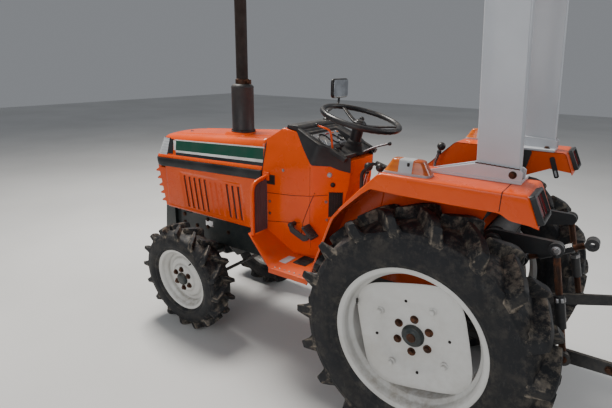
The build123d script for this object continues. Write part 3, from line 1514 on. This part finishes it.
def make_lever(foot, lean, elbow, knob, rod, ball):
    """One bent lever with its round knob, standing in a boot that leans back by an angle."""
    with BuildPart() as stem:
        with BuildLine() as path:
            FilletPolyline(foot, elbow, knob, radius=3 * rod)
        with BuildSketch(Plane(origin=path.line @ 0, z_dir=path.line % 0)):
            Circle(rod)
        sweep(path=path.line)
    boot = Location(foot, (0, -lean, 0))
    with BuildPart() as lever:
        add(stem.part)
        with Locations(boot):
            # The rod's slanting end stays inside the boot
            Cylinder(
                4 * rod, rod + 2, align=(Align.CENTER, Align.CENTER, Align.MAX),
                mode=Mode.SUBTRACT,
            )
            Cylinder(2.4 * rod, 1.6 * rod, align=(Align.CENTER, Align.CENTER, Align.MIN))
        with Locations(knob):
            Sphere(ball)
    return lever.part


def make_levers():
    """Bent gear levers with round knobs, and the throttle lever beside the instruments."""
    dash_lean = degrees(atan2(DASH_FRONT_Z - DASH_REAR_Z, DASH_FRONT_X - COWL_REAR_X))
    # foot, lean of the face it stands on, elbow and knob, then rod and knob radius
    rods = [
        ((420, 0, CASE_TOP_Z - 45), 0, (450, 20, 800), (400, 60, 945), 8, 19),
        ((210, 235, DECK_Z), 0, (250, 240, 900), (262, 236, 990), 7, 17),
        ((180, -235, DECK_Z), 0, (215, -240, 930), (190, -240, 1016), 7, 19),
        (
            (585, -132, dash_top(585) + DASH_THICK), dash_lean,
            (560, -142, 1065), (545, -132, 1120), 5, 12,
        ),
    ]
    with BuildPart() as levers:
        for row in rods:
            add(make_lever(*row))
    return levers.part


def make_mirror():
    """Rear-view mirror on a bent stay at the right of the cowl."""
    foot = (740, -132, DASH_HOOD_Z)
    head = (740, -246, 1250)
    with BuildPart() as mirror:
        with BuildLine() as path:
            FilletPolyline(foot, (740, -132, 1140), (740, -240, 1175), (740, -246, 1215), radius=14)
        with BuildSketch(Plane(origin=path.line @ 0, z_dir=path.line % 0)):
            Circle(6)
        sweep()
        with BuildSketch(Plane.YZ.offset(head[0] - 10)):
            with Locations((head[1], head[2])):
                RectangleRounded(150, 96, 18)
        extrude(amount=20)
    return mirror.part


# Three-point linkage


def arm_end():
    """Place of the lift arm's pin in side view."""
    turn = radians(ARM_RISE)
    return ROCK_X - ARM_LENGTH * cos(turn), ROCK_Z + ARM_LENGTH * sin(turn)


def link_point(reach):
    """Place on the lower link at a distance from its pivot, in side view."""
    turn = radians(LINK_RISE)
    return LINK_X - reach * cos(turn), LINK_Z + reach * sin(turn)


def link_y(reach):
    """Lateral place of the splayed left lower link at a distance from its pivot."""
    return LINK_Y + (LINK_END_Y - LINK_Y) * reach / LINK_REACH


def make_lift_arms():
    """Rockshaft with the two lift arms and their outboard pins."""
    end_x, end_z = arm_end()
    inner = ARM_Y - ARM_THICK / 2
    with BuildPart() as arms:
        with Locations(Location((ROCK_X, -inner - 5, ROCK_Z), (-90, 0, 0))):
            Cylinder(ROCK_RADIUS, 2 * inner + 10, align=(Align.CENTER, Align.CENTER, Align.MIN))
        for side in (1, -1):
            with BuildSketch(side_plane(side * ARM_Y + ARM_THICK / 2)):
                with Locations((ROCK_X, ROCK_Z)):
                    Circle(42)
                with Locations((end_x, end_z)):
                    Circle(22)
                Polygon(
                    (ROCK_X - 4, ROCK_Z + 42), (ROCK_X - 8, ROCK_Z - 41),
                    (end_x, end_z - 21), (end_x + 2, end_z + 22),
                    align=None,
                )
            extrude(amount=ARM_THICK)
            with Locations(
                Location((end_x, side * (ARM_Y + ARM_THICK / 2 - 2), end_z), (-90 * side, 0, 0))
            ):
                Cylinder(ROD_PIN, 26, align=(Align.CENTER, Align.CENTER, Align.MIN))
    return arms.part


def make_lift_rod():
    """Left lift rod: an eye on the arm's pin, a threaded box and an eye outside the link."""
    top_x, top_z = arm_end()
    low_x, low_z = link_point(LINK_ROD_AT)
    eye = 16.0
    top_y = ARM_Y + ARM_THICK / 2 + FACE_GAP + eye / 2
    low_y = link_y(LINK_ROD_AT) + LINK_THICK / 2 + 8 + eye / 2
    top = Vector(top_x, top_y, top_z)
    low = Vector(low_x, low_y, low_z)
    line = low - top
    with BuildPart() as rod:
        with BuildSketch(Plane(origin=top, z_dir=line)):
            Circle(10)
        extrude(amount=line.length)
        with BuildSketch(Plane(origin=top + line * 0.42, z_dir=line)):
            Circle(17)
        extrude(amount=line.length * 0.3)
        for place in (top, low):
            with Locations(Location((place.X, place.Y - eye / 2, place.Z), (-90, 0, 0))):
                Cylinder(24, eye, align=(Align.CENTER, Align.CENTER, Align.MIN))
            with Locations(Location((place.X, place.Y - eye, place.Z), (-90, 0, 0))):
                Cylinder(
                    ROD_PIN + RUN_GAP, 2 * eye, align=(Align.CENTER, Align.CENTER, Align.MIN),
                    mode=Mode.SUBTRACT,
                )
    return rod.part


def make_lift_rods():
    """Both lift rods."""
    left = make_lift_rod()
    right = left.mirror(Plane.XZ)
    with BuildPart() as rods:
        add(left)
        add(right)
    return rods.part


def make_lower_link():
    """Left lower link: a flat bar from its pivot eye to the ball end, splayed outwards."""
    start_x, start_z = link_point(0)
    end_x, end_z = link_point(LINK_REACH)
    eye = 20.0
    splay = atan2(LINK_END_Y - LINK_Y, start_x - end_x)
    # Plane along the bar, upright, with its X towards the ball end
    flat = Plane(
        origin=(start_x, LINK_Y, 0), x_dir=(-cos(splay), sin(splay), 0),
        z_dir=(sin(splay), cos(splay), 0),
    )
    run = hypot(start_x - end_x, LINK_END_Y - LINK_Y)
    rod_run = run * LINK_ROD_AT / LINK_REACH
    rod_z = link_point(LINK_ROD_AT)[1]
    with BuildPart() as link:
        with BuildSketch(flat.offset(-LINK_THICK / 2)):
            Polygon(
                (14, start_z - 18), (rod_run, rod_z - LINK_DEEP / 2), (run - 20, end_z - 19),
                (run - 20, end_z + 19), (rod_run, rod_z + LINK_DEEP / 2), (14, start_z + 18),
                align=None,
            )
        extrude(amount=LINK_THICK)
        with Locations(Location((start_x, LINK_Y - eye / 2, start_z), (-90, 0, 0))):
            Cylinder(26, eye, align=(Align.CENTER, Align.CENTER, Align.MIN))
        with Locations(Location((end_x, LINK_END_Y - eye / 2 - 6, end_z), (-90, 0, 0))):
            Cylinder(BALL_RADIUS, eye + 12, align=(Align.CENTER, Align.CENTER, Align.MIN))
        with Locations(Location((start_x, LINK_Y - eye, start_z), (-90, 0, 0))):
            Cylinder(
                LINK_PIN + RUN_GAP, 2 * eye, align=(Align.CENTER, Align.CENTER, Align.MIN),
                mode=Mode.SUBTRACT,
            )
        with Locations(Location((end_x, LINK_END_Y - 2 * eye, end_z), (-90, 0, 0))):
            Cylinder(
                BALL_BORE, 4 * eye, align=(Align.CENTER, Align.CENTER, Align.MIN),
                mode=Mode.SUBTRACT,
            )
    return link.part


def make_top_link():
    """Top link: two eyes joined by a screwed rod and the hexagon sleeve that sets its length."""
    eye_wide = TOP_LINK_GAP - 6
    eye_radius = 22.0
    turn = radians(TOP_LINK_RISE)
    pivot = Vector(TOP_LINK_X, 0, TOP_LINK_Z)
    line = Vector(-cos(turn), 0, sin(turn)) * TOP_LINK_LENGTH
    with BuildPart() as link:
        with BuildSketch(Plane(origin=pivot, z_dir=line)):
            Circle(10)
        extrude(amount=TOP_LINK_LENGTH)
        with BuildSketch(Plane(origin=pivot + line * 0.24, z_dir=line)):
            RegularPolygon(18, 6)
        extrude(amount=TOP_LINK_LENGTH * 0.5)
        for place in (pivot, pivot + line):
            with Locations(Location((place.X, -eye_wide / 2, place.Z), (-90, 0, 0))):
                Cylinder(eye_radius, eye_wide, align=(Align.CENTER, Align.CENTER, Align.MIN))
            with Locations(Location((place.X, -eye_wide, place.Z), (-90, 0, 0))):
                Cylinder(
                    TOP_LINK_PIN + RUN_GAP, 2 * eye_wide,
                    align=(Align.CENTER, Align.CENTER, Align.MIN), mode=Mode.SUBTRACT,
                )
    return link.part


def make_lower_links():
    """Both lower links."""
    left = make_lower_link()
    right = left.mirror(Plane.XZ)
    with BuildPart() as links:
        add(left)
        add(right)
    return links.part


# Assembly

hood_outer = hood_form(0)
hood_inner = hood_form(HOOD_WALL)
hood_core = hood_form(LAMP_DEEP)
hood_proud = hood_form(-BELT_PROUD)

rear_place = Location((0, REAR_WHEEL_Y, REAR_AXLE_Z))
front_place = Location((WHEELBASE, FRONT_WHEEL_Y, FRONT_AXLE_Z), (-CAMBER, 0, 0))
rear_tyre = make_tyre(REAR).moved(rear_place)
rear_wheel = make_rear_wheel().moved(rear_place)
front_tyre = make_tyre(FRONT).moved(front_place)
front_wheel = make_front_wheel().moved(front_place)
knuckle = make_knuckle()
fender = make_fender()

pieces = {
    "engine_block": make_engine_block(),
    "radiator": make_radiator(),
    "front_frame": make_front_frame(hood_inner),
    "front_axle": make_front_axle(),
    "transmission_case": make_transmission(),
    "rear_axle": make_rear_axle(),
    "hydraulic_case": make_hydraulic_case(),
    "rear_hitch": make_rear_hitch(),
    "pto_shaft": make_pto_shaft(),
    "bonnet": make_bonnet(hood_outer, hood_inner),
    "bonnet_belt": make_belt(hood_proud, hood_inner),
    "headlamps": make_headlamps(hood_outer, hood_core),
    "side_panels": make_side_panels(hood_outer, hood_inner),
    "front_grille": make_grille(),
    "muffler": make_muffler(),
    "exhaust_pipe": make_exhaust_pipe(),
    "cowl": make_cowl(),
    "dash_panel": make_dash_panel(),
    "steering_column": make_steering_column(),
    "steering_wheel": make_steering_wheel(),
    "footboards": make_footboards(),
    "leg_guards": make_leg_guards(),
    "fender_left": fender,
    "fender_right": fender.mirror(Plane.XZ),
    "seat_deck": make_seat_deck(),
    "seat": make_seat(),
    "side_lamps": make_side_lamps(),
    "tail_lamps": make_tail_lamps(),
    "rops_posts": make_rops_posts(),
    "rops_crossbar": make_rops_crossbar(),
    "rops_bases": make_rops_bases(),
    "pedals": make_pedals(cowl_form(0)),
    "levers": make_levers(),
    "mirror": make_mirror(),
    "knuckle_left": knuckle,
    "knuckle_right": knuckle.mirror(Plane.XZ),
    "tie_rod": make_tie_rod(),
    "rear_tyre_left": rear_tyre,
    "rear_tyre_right": rear_tyre.mirror(Plane.XZ),
    "rear_wheel_left": rear_wheel,
    "rear_wheel_right": rear_wheel.mirror(Plane.XZ),
    "front_tyre_left": front_tyre,
    "front_tyre_right": front_tyre.mirror(Plane.XZ),
    "front_wheel_left": front_wheel,
    "front_wheel_right": front_wheel.mirror(Plane.XZ),
    "lift_arms": make_lift_arms(),
    "lift_rods": make_lift_rods(),
    "lower_links": make_lower_links(),
    "top_link": make_top_link(),
}

REAR_END_X = link_point(LINK_REACH)[0] - BALL_RADIUS
middle = Location((-(FRONT_END_X + REAR_END_X) / 2, 0, 0))
os.makedirs("parts", exist_ok=True)
for name, piece in pieces.items():
    placed = piece.moved(middle)
    placed.label = name
    export_step(placed, f"parts/{name}.step")
